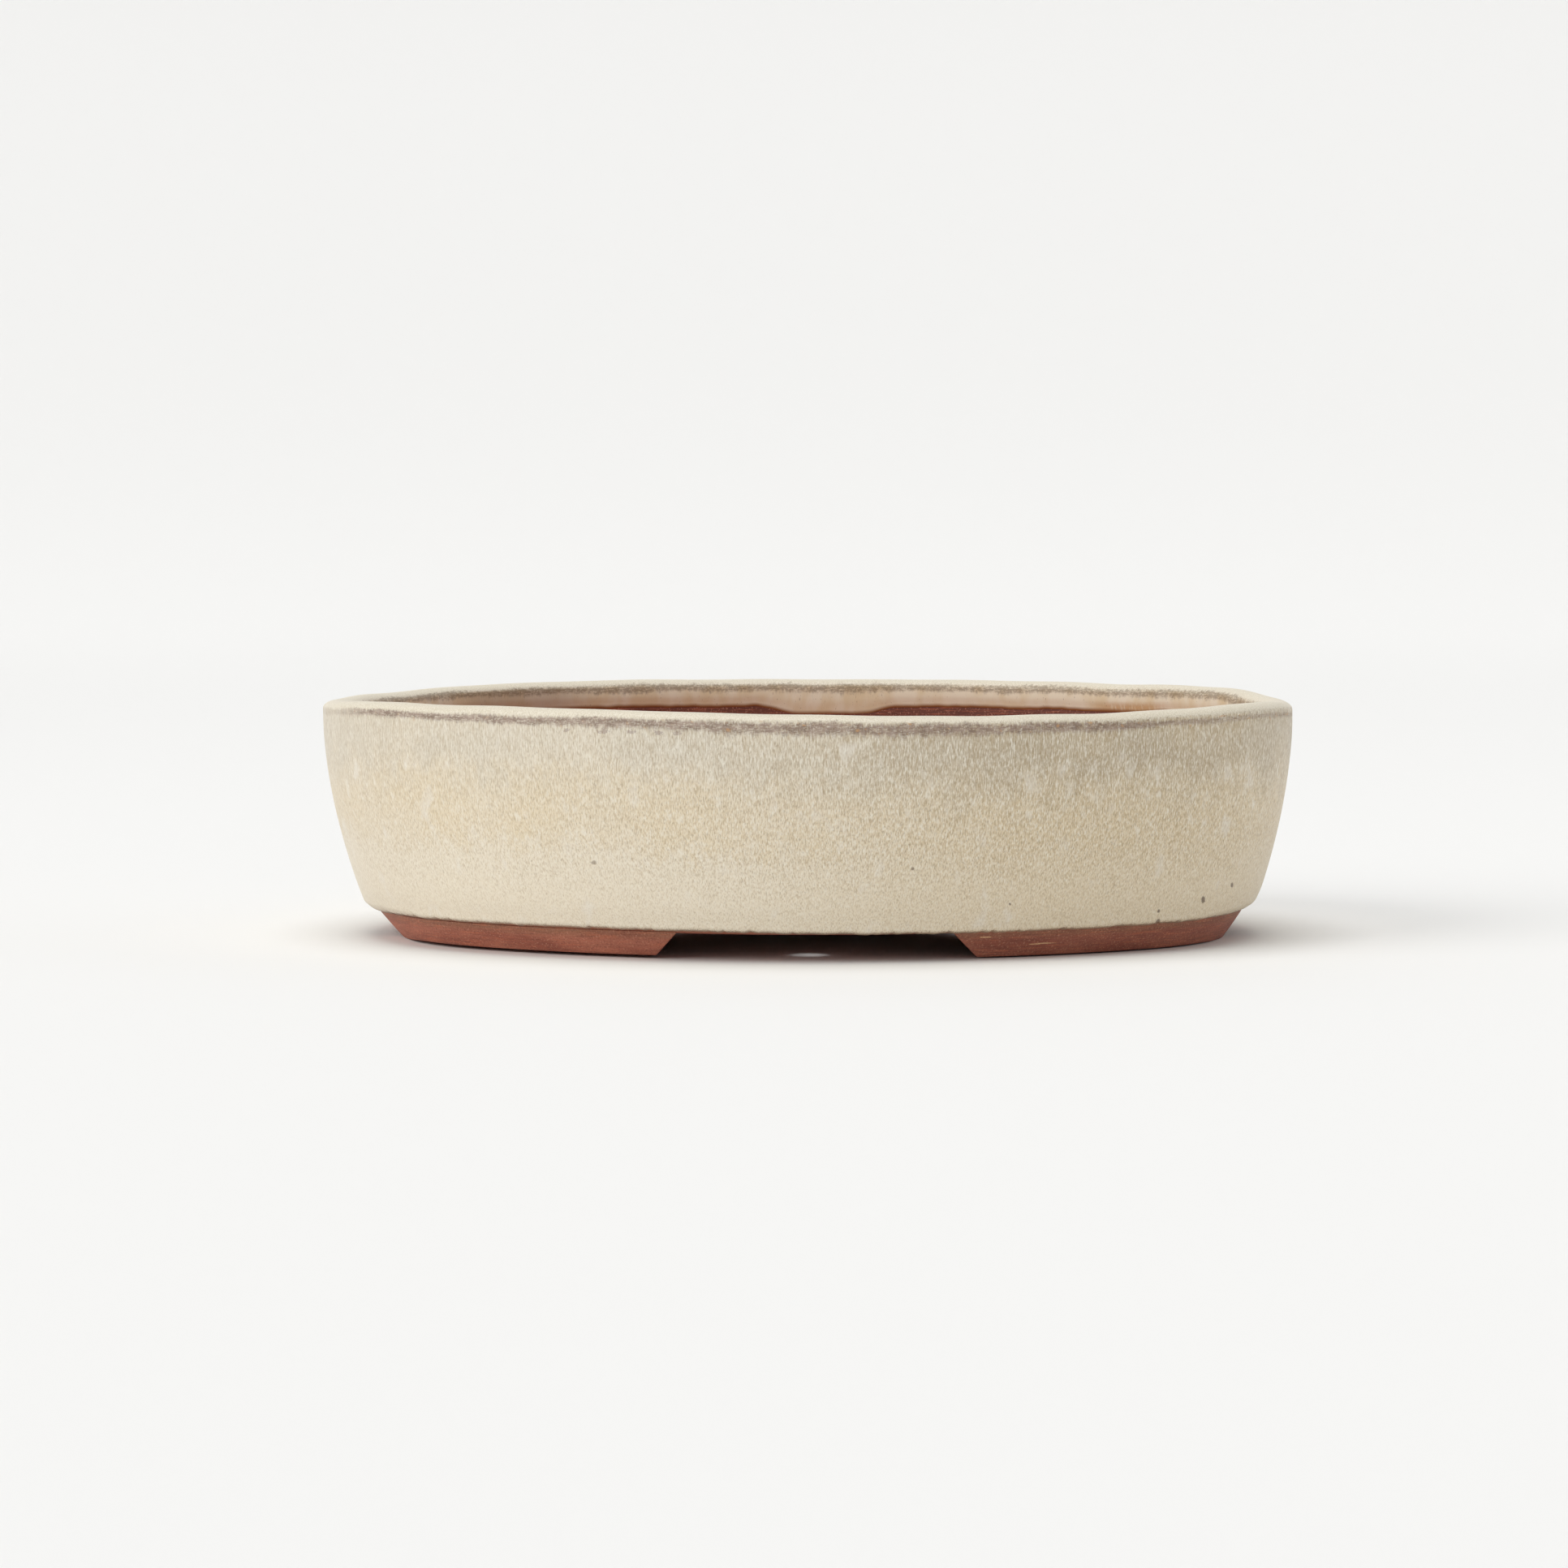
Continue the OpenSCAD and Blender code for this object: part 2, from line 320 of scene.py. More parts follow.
def swing(tree, noise, size):
    """Noise from 0 to 1 turned into a swing of that size around zero."""
    return maths(tree, "MULTIPLY_ADD", noise, size, -size / 2)


def spread(tree, value, low, high, to_low=0.0, to_high=1.0):
    """Maps low to high onto to_low to to_high, clamped, with a soft start and end."""
    made = node(tree, "ShaderNodeMapRange", {"interpolation_type": "SMOOTHSTEP"},
                Value=value, From_Min=low, From_Max=high, To_Min=to_low, To_Max=to_high)
    return made.outputs["Result"]


def blend(tree, share, a, b):
    """Colour a, turning into colour b as share goes from 0 to 1. They are the node's inputs 6 and 7."""
    return node(tree, "ShaderNodeMix", {"data_type": "RGBA"}, i0=share, i6=a, i7=b).outputs[2]


def millimetres(tree):
    """Object coordinates in millimetres."""
    place = node(tree, "ShaderNodeTexCoord").outputs["Object"]
    return node(tree, "ShaderNodeVectorMath", {"operation": "SCALE"}, i0=place, Scale=1 / MM).outputs[0]


def axes(tree, vector):
    """The X, Y and Z of a vector."""
    return node(tree, "ShaderNodeSeparateXYZ", Vector=vector).outputs


def grain(tree, place, width, height, detail, rough, shift=0.0):
    """Noise from 0 to 1 whose features are about width across and height tall, in millimetres."""
    sized = node(tree, "ShaderNodeMapping", {"vector_type": "POINT"}, Vector=place,
                 Location=(shift, shift, shift), Scale=(1 / width, 1 / width, 1 / height)).outputs[0]
    made = node(tree, "ShaderNodeTexNoise", Vector=sized, Scale=1.0, Detail=detail, Roughness=rough)
    return made.outputs[0]


def srgb(r, g, b):
    """A linear colour from its display values of 0 to 255."""
    def linear(v):
        v /= 255
        return v / 12.92 if v <= 0.04045 else ((v + 0.055) / 1.055) ** 2.4
    return (linear(r), linear(g), linear(b), 1.0)


def new_material(name):
    """A material with one shader, as (material, node tree, shader)."""
    made = bpy.data.materials.new(name)
    made.use_nodes = True
    tree = made.node_tree
    tree.nodes.clear()
    shader = node(tree, "ShaderNodeBsdfPrincipled")
    output = node(tree, "ShaderNodeOutputMaterial")
    tree.links.new(shader.outputs[0], output.inputs["Surface"])
    return made, tree, shader


def bump(tree, shader, height, distance, strength):
    """Fine relief from a height map, with a depth in millimetres."""
    made = node(tree, "ShaderNodeBump", Strength=strength, Distance=distance * MM, Height=height)
    tree.links.new(made.outputs[0], shader.inputs["Normal"])


def front_spots(tree, place, fall, ragged, spots):
    """Mask of small marks on the outside of the front, each given as x, z, half width and half height."""
    x, y, z = axes(tree, place)
    mask = 0.0
    for centre_x, centre_z, half_w, half_h in spots:
        across = maths(tree, "DIVIDE", maths(tree, "SUBTRACT", x, centre_x), half_w)
        up = maths(tree, "DIVIDE", maths(tree, "SUBTRACT", z, centre_z), half_h)
        far = maths(tree, "MULTIPLY_ADD", across, across, product(tree, up, up))
        far = maths(tree, "ADD", far, ragged)
        mask = maths(tree, "MAXIMUM", mask, spread(tree, far, 0.3, 1.6, 1.0, 0.0))
    outside = product(tree, spread(tree, y, 0.0, -1.0), spread(tree, fall, 0.0, 1.0))
    return product(tree, mask, outside)


# ---------------------------------------------------------------- glaze
# The glaze at the left and the right of the pot, and its cooler tone just below the rim; the right is
# darker partly by tone, partly by painted shade.
GLAZE_LEFT, GLAZE_RIGHT_TONE_AND_SHADE = srgb(232, 221, 200), srgb(219, 200, 165)
COOL_LEFT, COOL_RIGHT_TONE_AND_SHADE = srgb(211, 202, 184), srgb(184, 170, 146)
# The last colour on the next line is painted shade for the far left end of the wall.
GOLD, PLAIN, END_PAINTED_SHADE = srgb(224, 204, 166), srgb(240, 229, 207), srgb(186, 172, 150)
CREAM_DROP, CREAM_PATCH = srgb(240, 234, 220), srgb(236, 232, 224)
FIBRE_DARK, FLECK_PALE, FLECK_DARK = srgb(180, 157, 124), srgb(246, 240, 226), srgb(160, 140, 112)
STRAND_PALE, STRAND_DARK = srgb(236, 230, 218), srgb(190, 166, 130)
# Inside the rim; the last of the three warm colours on the next line is painted shade.
WARM_DULL, WARM_PALE, WARM_PAINTED_SHADE = srgb(238, 222, 186), srgb(250, 242, 218), srgb(170, 146, 122)
AMBER, IRON_SPOT, THIN_EDGE = srgb(210, 162, 92), srgb(124, 84, 48), srgb(150, 98, 54)
# On the rim and its shoulders.
TOP_DULL, TOP_PALE = srgb(212, 202, 180), srgb(230, 222, 204)
BREAK_DARK, BREAK_PALE, BREAK_INSIDE = srgb(126, 103, 90), srgb(158, 136, 124), srgb(122, 100, 74)
FLAKE, RUST, BLOTCH = srgb(142, 116, 92), srgb(198, 152, 104), srgb(140, 116, 112)
# Low on the wall.
SPECK, LIP_BROWN = srgb(108, 86, 70), srgb(134, 98, 68)


def glaze_zones(tree, x, depth, cloud):
    """Broad zones down the wall: cool under the rim, golden in the middle and plain cream low down, darker
    towards the right partly by tone and partly by painted shade, with painted shade on the far left end.
    """
    # Towards the right the glaze darkens: partly its own tone, partly painted shade on the side away from
    # the light.
    right = spread(tree, x, -35.0, 65.0)
    cool = product(tree, spread(tree, depth, 9.0, 24.0, 1.0, 0.0),
                   spread(tree, cloud, 0.3, 0.65, 0.55, 1.0))
    gold = product(tree, spread(tree, depth, 8.0, 19.0), spread(tree, depth, 25.0, 33.0, 1.0, 0.0),
                   spread(tree, cloud, 0.62, 0.38, 0.6, 1.0), spread(tree, x, -40.0, 40.0, 1.0, 0.55))
    plain = spread(tree, depth, 26.0, 42.0)
    body = blend(tree, product(tree, cool, 0.8), blend(tree, right, GLAZE_LEFT, GLAZE_RIGHT_TONE_AND_SHADE),
                 blend(tree, right, COOL_LEFT, COOL_RIGHT_TONE_AND_SHADE))
    body = blend(tree, product(tree, gold, 0.55), body, GOLD)
    body = blend(tree, product(tree, plain, 0.35), body, PLAIN)
    # Painted shade darkens the far left end of the wall.
    return blend(tree, spread(tree, x, -96.0, -76.0, 0.14, 0.0), body, END_PAINTED_SHADE)


def glaze_streaks(tree, body, x, depth, fibre, strand, fleck):
    """Light and dark run streaks, which are weaker on the plain lower wall and towards the left."""
    streaky = product(tree, spread(tree, depth, 28.0, 44.0, 1.0, 0.6),
                      spread(tree, x, -85.0, 25.0, 0.7, 1.05))
    layers = [(fibre, 0.5, 0.66, 0.65, CREAM_DROP), (fibre, 0.5, 0.34, 0.5, FIBRE_DARK),
              (strand, 0.52, 0.72, 0.22, STRAND_PALE), (strand, 0.48, 0.3, 0.22, STRAND_DARK),
              (fleck, 0.47, 0.25, 0.5, FLECK_DARK), (fleck, 0.53, 0.75, 0.5, FLECK_PALE)]
    for noise, low, high, amount, colour in layers:
        share = product(tree, spread(tree, noise, low, high), streaky, amount)
        body = blend(tree, share, body, colour)
    return body


def glaze_inside(tree, x, fall, patch, strand, fleck):
    """The thin warm glaze inside the rim, with an amber run at the right, painted shade towards the left
    end, and brown where it ends.
    """
    warm = blend(tree, spread(tree, patch, 0.35, 0.65), WARM_DULL, WARM_PALE)
    amber = product(tree, spread(tree, x, 66.0, 73.0), spread(tree, x, 87.0, 79.0),
                    spread(tree, strand, 0.3, 0.55, 0.4, 1.0), spread(tree, fall, -3.6, -5.4))
    warm = blend(tree, product(tree, amber, 0.65), warm, AMBER)
    # Painted shade on the inside band towards the left end.
    shade = product(tree, spread(tree, x, -86.0, -76.0), spread(tree, x, -48.0, -62.0))
    warm = blend(tree, product(tree, shade, 0.45), warm, WARM_PAINTED_SHADE)
    warm = blend(tree, spread(tree, fleck, 0.7, 0.8, 0.0, 0.6), warm, IRON_SPOT)
    return blend(tree, spread(tree, fall, -5.4, -6.4), warm, THIN_EDGE)


def break_line(tree, place, depth, middle, half):
    """Broken dark layers along the rim, of a half thickness, round a middle depth below its top."""
    wander = grain(tree, place, 26.0, 26.0, 1.0, 0.5, 71)
    thick = grain(tree, place, 9.0, 9.0, 2.0, 0.6, 72)
    drip = grain(tree, place, 0.8, 2.4, 2.0, 0.6, 73)
    layer = grain(tree, place, 1.5, 0.32, 3.0, 0.65, 74)
    crumb = grain(tree, place, 0.5, 0.4, 3.0, 0.7, 75)
    centre = maths(tree, "ADD", swing(tree, wander, 1.0), middle)
    width = product(tree, maths(tree, "MULTIPLY_ADD", thick, 1.6, 0.2), half)
    off = maths(tree, "DIVIDE", maths(tree, "SUBTRACT", depth, centre), width)
    off = maths(tree, "ADD", off, swing(tree, drip, 2.0))
    shape = product(tree, spread(tree, off, -1.3, -0.5), spread(tree, off, 1.5, 0.3))
    broken = maths(tree, "MULTIPLY_ADD", layer, 0.5, product(tree, crumb, 0.5))
    return product(tree, shape, spread(tree, broken, 0.38, 0.54, 0.3, 1.0))


def outer_break(tree, place, x, fall):
    """The dark line below the outer shoulder, and its strength, which is less towards the ends."""
    middle = spread(tree, x, -60.0, 0.0, 2.35, 2.85)
    half = product(tree, spread(tree, x, -70.0, 0.0, 0.8, 1.35), spread(tree, x, 40.0, 85.0, 1.0, 0.45))
    strength = product(tree, spread(tree, x, -108.0, -95.0, 0.15, 0.85),
                       spread(tree, x, 60.0, 106.0, 1.0, 0.5))
    return break_line(tree, place, fall, middle, half), strength


def near_depth(tree, fall, depth, core, reach):
    """Mask that is full within core of a depth below the top of the rim, and gone at reach."""
    off = maths(tree, "ABSOLUTE", maths(tree, "ADD", fall, -depth))
    return spread(tree, off, core, reach, 1.0, 0.0)


def glaze_rim(tree, body, place, x, fall, fleck, line, strength):
    """Plain cream over the top of the rim, with dark broken layers at each shoulder."""
    top = blend(tree, spread(tree, fleck, 0.35, 0.65), TOP_DULL, TOP_PALE)
    body = blend(tree, near_depth(tree, fall, 0.2, 0.9, 1.9), body, top)
    smear = grain(tree, place, 3.0, 0.8, 2.0, 0.5, 76)
    tint = blend(tree, spread(tree, smear, 0.4, 0.6), BREAK_DARK, BREAK_PALE)
    body = blend(tree, product(tree, line, strength), body, tint)
    crumbs = grain(tree, place, 0.7, 0.55, 2.0, 0.6, 78)
    flake = product(tree, spread(tree, fall, 1.0, 1.6), spread(tree, fall, 4.6, 2.6),
                    spread(tree, crumbs, 0.56, 0.68), spread(tree, x, -30.0, 30.0, 0.15, 0.7))
    body = blend(tree, flake, body, FLAKE)
    inner_line = break_line(tree, place, product(tree, fall, -1.0), 1.9, 0.85)
    body = blend(tree, product(tree, inner_line, 0.66), body, BREAK_INSIDE)
    stains = grain(tree, place, 1.5, 1.2, 1.0, 0.5, 77)
    rust = product(tree, near_depth(tree, fall, 2.6, 0.9, 1.6), spread(tree, stains, 0.66, 0.76),
                   spread(tree, x, -50.0, -10.0, 0.3, 1.0))
    return blend(tree, product(tree, rust, 0.7), body, RUST)


def glaze_marks(tree, body, place, x, fall, hem, fleck):
    """Iron specks, blotches below the rim, and the thin brown line where the glaze ends on the clay."""
    ragged = swing(tree, grain(tree, place, 0.4, 0.35, 2.0, 0.6, 91), 6.0)
    specks = front_spots(tree, place, fall, product(tree, ragged, 0.35), IRON_SPECKS)
    body = blend(tree, product(tree, specks, spread(tree, x, -20.0, 60.0, 0.5, 0.85)), body, SPECK)
    blotches = front_spots(tree, place, fall, ragged, RIM_BLOTCHES)
    body = blend(tree, product(tree, blotches, 0.5), body, BLOTCH)
    edge = spread(tree, maths(tree, "ADD", hem, swing(tree, fleck, 1.2)), 0.3, 0.75, 1.0, 0.0)
    return blend(tree, product(tree, edge, 0.75), body, LIP_BROWN)


def glaze_material():
    """Cream ash glaze with fine run streaks, which breaks to purple-brown along the edges of the rim.

    It reads two values from the mesh, in millimetres: fall, the depth below the top of the rim, which is
    negative inside the pot, and hem, the height above the glaze's lower edge.
    """
    made, tree, shader = new_material("cream_glaze")
    place = millimetres(tree)
    fall = node(tree, "ShaderNodeAttribute", {"attribute_name": "fall"}).outputs["Fac"]
    hem = node(tree, "ShaderNodeAttribute", {"attribute_name": "hem"}).outputs["Fac"]
    x = axes(tree, place)[0]
    fibre = grain(tree, place, 0.24, 1.7, 1.5, 0.5)
    strand = grain(tree, place, 0.6, 3.0, 2.0, 0.5, 31)
    fleck = grain(tree, place, 0.24, 0.8, 1.0, 0.5, 41)
    patch = grain(tree, place, 5.0, 9.0, 2.0, 0.5, 57)
    cloud = grain(tree, place, 22.0, 16.0, 1.0, 0.5, 83)
    drops = grain(tree, place, 2.2, 3.4, 2.0, 0.55, 95)

    # The depth wanders, so that the zones have no straight edges.
    wander = maths(tree, "ADD", swing(tree, patch, 16.0), swing(tree, strand, 12.0))
    depth = maths(tree, "ADD", fall, wander)
    body = glaze_zones(tree, x, depth, cloud)
    body = glaze_streaks(tree, body, x, depth, fibre, strand, fleck)
    body = blend(tree, spread(tree, patch, 0.6, 0.75, 0.0, 0.35), body, CREAM_PATCH)
    drop = product(tree, spread(tree, drops, 0.58, 0.74), spread(tree, fall, 6.0, 14.0),
                   spread(tree, fall, 34.0, 26.0, 0.0, 0.5))
    body = blend(tree, drop, body, CREAM_DROP)
    warm = glaze_inside(tree, x, fall, patch, strand, fleck)
    body = blend(tree, spread(tree, fall, -1.0, -1.6), body, warm)
    line, strength = outer_break(tree, place, x, fall)
    body = glaze_rim(tree, body, place, x, fall, fleck, line, strength)
    body = glaze_marks(tree, body, place, x, fall, hem, fleck)
    tree.links.new(body, shader.inputs["Base Color"])

    rough = maths(tree, "MULTIPLY_ADD", line, 0.15, maths(tree, "MULTIPLY_ADD", fibre, 0.2, 0.34))
    tree.links.new(rough, shader.inputs["Roughness"])
    shader.inputs["Specular IOR Level"].default_value = 0.45
    pitted = maths(tree, "MULTIPLY_ADD", fleck, 0.5, product(tree, line, -0.8))
    bump(tree, shader, maths(tree, "ADD", fibre, pitted), 0.06, 0.7)
    return made


# ---------------------------------------------------------------- clay, plastic and wire
# The third colour on the next line is painted shade for the right-hand side.
CLAY_DARK, CLAY_PALE, CLAY_RIGHT_PAINTED_SHADE = srgb(160, 92, 72), srgb(188, 117, 93), srgb(104, 54, 42)
# The first colour on the next line is inner clay that is partly its own darker colour and partly painted
# shade.
CLAY_INSIDE_AND_SHADE, CLAY_FUMED = srgb(84, 38, 24), srgb(142, 106, 78)
# The first two colours on the next line are painted highlight for the tool lines' ridges and painted shade
# for their grooves.
RIDGE, GROOVE_PAINTED_SHADE, SCRATCH = srgb(200, 112, 78), srgb(118, 64, 48), srgb(226, 184, 140)
SAND_PALE, SAND_DARK = srgb(212, 156, 132), srgb(100, 56, 44)


def clay_material():
    """Fired red stoneware: fine sand, tool lines around the pot, darker and lighter firing patches, painted
    shade towards the right, inner clay partly darkened by painted shade, and painted highlight and shade on
    the tool lines.
    """
    made, tree, shader = new_material("red_stoneware")
    place = millimetres(tree)
    patch = grain(tree, place, 16.0, 5.0, 3.0, 0.55)
    sand = grain(tree, place, 0.4, 0.4, 2.0, 0.6, 17)
    lines = grain(tree, place, 7.0, 0.24, 3.0, 0.6, 23)
    position = axes(tree, place)
    x, z = position[0], position[2]

    # Tool lines and the fumed strip are only on faces that aren't level.
    facing = axes(tree, node(tree, "ShaderNodeNewGeometry").outputs["Normal"])[2]
    steep = spread(tree, maths(tree, "ABSOLUTE", facing), 0.9, 0.6)
    body = blend(tree, spread(tree, patch, 0.3, 0.7), CLAY_DARK, CLAY_PALE)
    # Painted shade: the clay darkens towards the right, the side away from the light.
    body = blend(tree, spread(tree, x, -30.0, 50.0, 0.0, 0.3), body, CLAY_RIGHT_PAINTED_SHADE)
    # Darker clay high inside the pot: partly the clay's own colour, partly painted shade.
    body = blend(tree, spread(tree, z, 37.0, 46.0, 0.0, 0.75), body, CLAY_INSIDE_AND_SHADE)
    fumed = product(tree, spread(tree, z, UNDER_Z - 1.8, UNDER_Z + 0.4), spread(tree, z, 10.0, 8.0),
                    steep, spread(tree, patch, 0.3, 0.6, 0.3, 0.6))
    body = blend(tree, fumed, body, CLAY_FUMED)
    # Tool lines: painted highlight on their ridges and painted shade in their grooves, following the same
    # noise as their bump.
    body = blend(tree, product(tree, spread(tree, lines, 0.53, 0.66, 0.0, 0.55), steep), body, RIDGE)
    body = blend(tree, product(tree, spread(tree, lines, 0.47, 0.34, 0.0, 0.45), steep), body, GROOVE_PAINTED_SHADE)
    body = blend(tree, spread(tree, sand, 0.55, 0.72, 0.0, 0.6), body, SAND_PALE)
    body = blend(tree, spread(tree, sand, 0.45, 0.28, 0.0, 0.6), body, SAND_DARK)
    body = blend(tree, front_spots(tree, place, 1.0, swing(tree, sand, 4.0), SCRATCHES), body, SCRATCH)
    tree.links.new(body, shader.inputs["Base Color"])
    tree.links.new(maths(tree, "MULTIPLY_ADD", sand, 0.25, 0.5), shader.inputs["Roughness"])
    bump(tree, shader, maths(tree, "MULTIPLY_ADD", product(tree, lines, steep), 1.2, sand), 0.1, 0.9)
    return made


def plastic_material():
    """Black moulded plastic net."""
    made, tree, shader = new_material("mesh_plastic")
    sand = grain(tree, millimetres(tree), 0.3, 0.3, 2.0, 0.6)
    tree.links.new(blend(tree, sand, srgb(22, 22, 23), srgb(40, 40, 42)), shader.inputs["Base Color"])
    shader.inputs["Roughness"].default_value = 0.45
    bump(tree, shader, sand, 0.04, 0.5)
    return made


def wire_material():
    """Drawn aluminium wire."""
    made, tree, shader = new_material("aluminium_wire")
    drawn = grain(tree, millimetres(tree), 0.4, 0.4, 3.0, 0.6)
    tree.links.new(blend(tree, drawn, srgb(196, 196, 198), srgb(222, 222, 224)),
                   shader.inputs["Base Color"])
    shader.inputs["Metallic"].default_value = 1.0
    shader.inputs["Roughness"].default_value = 0.35
    bump(tree, shader, drawn, 0.03, 0.4)
    return made


GLAZE = glaze_material()
CLAY = clay_material()
PLASTIC = plastic_material()
WIRE = wire_material()


# ---------------------------------------------------------------- pieces
def finish_piece(piece, material, slot_name, *nodes):
    """Gives a piece its material and its place in the frame."""
    piece.data.materials.append(material)
    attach(piece, "root")
    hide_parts(*nodes)


def glaze_outside(lip_roll, flatness):
    """Outline of the glaze from its lower lip up to the shoulder, for one size and shape of the lip."""
    roll = np.radians(np.linspace(-25, 90, 13))
    lip_top = UNDER_Z + lip_roll
    lip_out = LIP_INSET - draw_in(lip_top)
    across, down = (np.sign(part) * np.abs(part) ** flatness for part in (np.sin(roll), np.cos(roll)))
    lip = np.stack([LIP_INSET - lip_out * across, lip_top - lip_roll * down], 1)
    wall_z = np.linspace(lip_top, SHOULDER_Z, 27)[1:-1]
    return np.concatenate([lip, np.stack([draw_in(wall_z), wall_z], 1)])


def build_glaze():
    """The glaze coat as a closed shell: lower lip, outside, rim, inside band, and its face on the clay."""
    angles = plan_angles(1240)
    share = (np.arange(len(angles)) + 0.5) / len(angles)
    soft = glaze_outside(SOFT_ROLL, SOFT_FLATNESS)
    crisp = glaze_outside(CRISP_ROLL, CRISP_FLATNESS)
    rim = rim_arc(0.0, 17)
    band_z = np.linspace(SHOULDER_Z, TOP_Z - INNER_EDGE, 8)[1:]
    end_z = band_z[-1]
    thinning = 0.5 * smooth_step(end_z + 2.5, end_z, band_z)
    band = np.stack([WALL_T - thinning, band_z], 1)
    edge = np.array([[WALL_T - 0.56, end_z - 0.2], [WALL_T - 0.68, end_z - 0.3],
                     [WALL_T - GLAZE_T - 0.1, end_z - 0.3]])
    back_rim = rim_arc(GLAZE_T + 0.05, 6)[::-1]
    back_z = np.linspace(SHOULDER_Z, LIP_TOP + 0.4, 6)[1:]
    back = np.stack([draw_in(back_z) + GLAZE_T + 0.05, back_z], 1)
    close = np.array([[LIP_INSET + 0.6, LIP_TOP - 0.9]])
    section = np.concatenate([soft, rim, band, edge, back_rim, back, close])
    inset = np.repeat(section[:, 0:1], len(angles), 1)
    z = np.repeat(section[:, 1:2], len(angles), 1)

    # The lower lip is soft at the ends of the pot and crisp along its sides.
    side = smooth_step(0.35, 0.75, np.abs(np.sin(angles)))
    inset[:len(soft)] += (crisp - soft)[:, 0:1] * side
    z[:len(soft)] += (crisp - soft)[:, 1:2] * side

    # The two values that the material reads.
    first_band = len(soft) + len(rim)
    last_band = first_band + len(band) + len(edge)
    ridge = len(soft) + len(rim) // 2
    bottom_of_lip, out_of_sight = 2, 20.0
    fall = TOP_Z - z
    fall[ridge:] *= -1
    fall[last_band:] = out_of_sight
    hem = z - z[bottom_of_lip]
    hem[ridge:] = out_of_sight

    # The lower lip hangs unevenly and has small nicks.
    raised = around(share, LIP_HEIGHTS)
    raised = raised + 0.07 * ripple(share, seed=21, low=20, high=90)
    raised = raised + 0.05 * ripple(share, seed=22, low=90, high=300)
    raised = raised + notches(share, seed=24, count=90, low=0.05, high=0.3)
    hang = smooth_step(LIP_TOP + 4.0, LIP_TOP - 1.2, z)
    hang[ridge:-1] = 0
    z += hang * raised

    # The edge of the glaze inside the rim wanders a little, with one long run behind the middle.
    x_back = np.where(np.sin(angles) > 0, (0.25 - share) * RIM_LENGTH, -100.0)
    run = 0.1 * ripple(share, seed=31, low=10, high=40) + 0.05 * ripple(share, seed=32, low=40, high=160)
    run = run - 1.9 * smooth_step(-13, -2, x_back) * smooth_step(23, 13, x_back)
    follows = np.zeros(len(section))
    inside = slice(first_band, last_band)
    follows[inside] = smooth_step(SHOULDER_Z, TOP_Z - INNER_EDGE, section[inside, 1])
    z += follows[:, None] * run[None, :]

    piece = ring_piece("glaze_coat_piece", inset, z, angles)
    set_attribute(piece, "fall", fall)
    set_attribute(piece, "hem", hem)
    finish_piece(piece, GLAZE, "cream_glaze", "glaze_coat")


def build_wall():
    """The clay wall under the glaze, open to view inside the pot and underneath."""
    angles = plan_angles(480)
    rim = rim_arc(GLAZE_T, 9)
    inner_z = np.linspace(TOP_Z - INNER_EDGE + 1.5, FLOOR_Z + CORNER_R, 40)
    inner = np.stack([inner_side(inner_z), inner_z], 1)
    turn = np.radians(np.linspace(0, 90, 9)[1:])
    start = inner_side(FLOOR_Z + CORNER_R)
    corner = np.stack([SLAB_INSET - (SLAB_INSET - start) * np.cos(turn),
                       FLOOR_Z + CORNER_R - CORNER_R * np.sin(turn)], 1)
    # The underside rises to the level of the feet's tops, and ends in points that keep the corner crisp.
    under = np.array([[SLAB_INSET, UNDER_Z + 0.02], [LIP_INSET + 4.6, UNDER_Z + 0.02],
                      [LIP_INSET, UNDER_Z + 0.72], [LIP_INSET - 0.1, UNDER_Z + 0.75],
                      [LIP_INSET - 0.16, UNDER_Z + 0.81]])
    out_z = np.linspace(LIP_TOP + 1.2, SHOULDER_Z, 12)[:-1]
    out = np.stack([draw_in(out_z) + GLAZE_T, out_z], 1)
    section = np.concatenate([out, rim, inner, corner, under])
    inset = np.repeat(section[:, 0:1], len(angles), 1)
    z = np.repeat(section[:, 1:2], len(angles), 1)
    piece = ring_piece("wall_piece", inset, z, angles)
    finish_piece(piece, CLAY, "red_stoneware", "wall")


def between(start, end, shares):
    """Points on the line from start to end, at shares of its length."""
    shares = shares[:, None]
    return (1 - shares) * start + shares * end


def foot_section(lift):
    """Outline of a foot's section as insets and heights, whose outer edge stays lift above the table."""
    round_r, heel = 0.7, 6.5
    inner_bottom = FOOT_BOTTOM_INSET + FOOT_W
    sevenths = np.linspace(0, 1, 8)
    outer_top = np.array([LIP_INSET - 0.33, FOOT_TOP_Z])
    outer_bottom = np.array([FOOT_BOTTOM_INSET - 0.2, lift + 0.25])
    outer = between(outer_top, outer_bottom, np.concatenate([[0, 0.01], np.linspace(0.1, 1, 12)]))
    step = np.linspace(0, 1, 9)
    toe = np.stack([FOOT_BOTTOM_INSET + heel * step, lift * (1 - step ** 3)], 1)
    bottom = between(toe[-1], np.array([inner_bottom - round_r, 0]), sevenths[1:-1])
    turn = np.radians(np.linspace(0, 90, 6))
    corner = np.stack([inner_bottom - round_r + round_r * np.sin(turn),
                       round_r - round_r * np.cos(turn)], 1)
    inner = between(corner[-1], np.array([inner_bottom + 0.6, FOOT_TOP_Z]), sevenths[1:])
    top = between(inner[-1], outer[0], sevenths[1:-1])
    return np.concatenate([outer, toe, bottom, corner, inner, top])


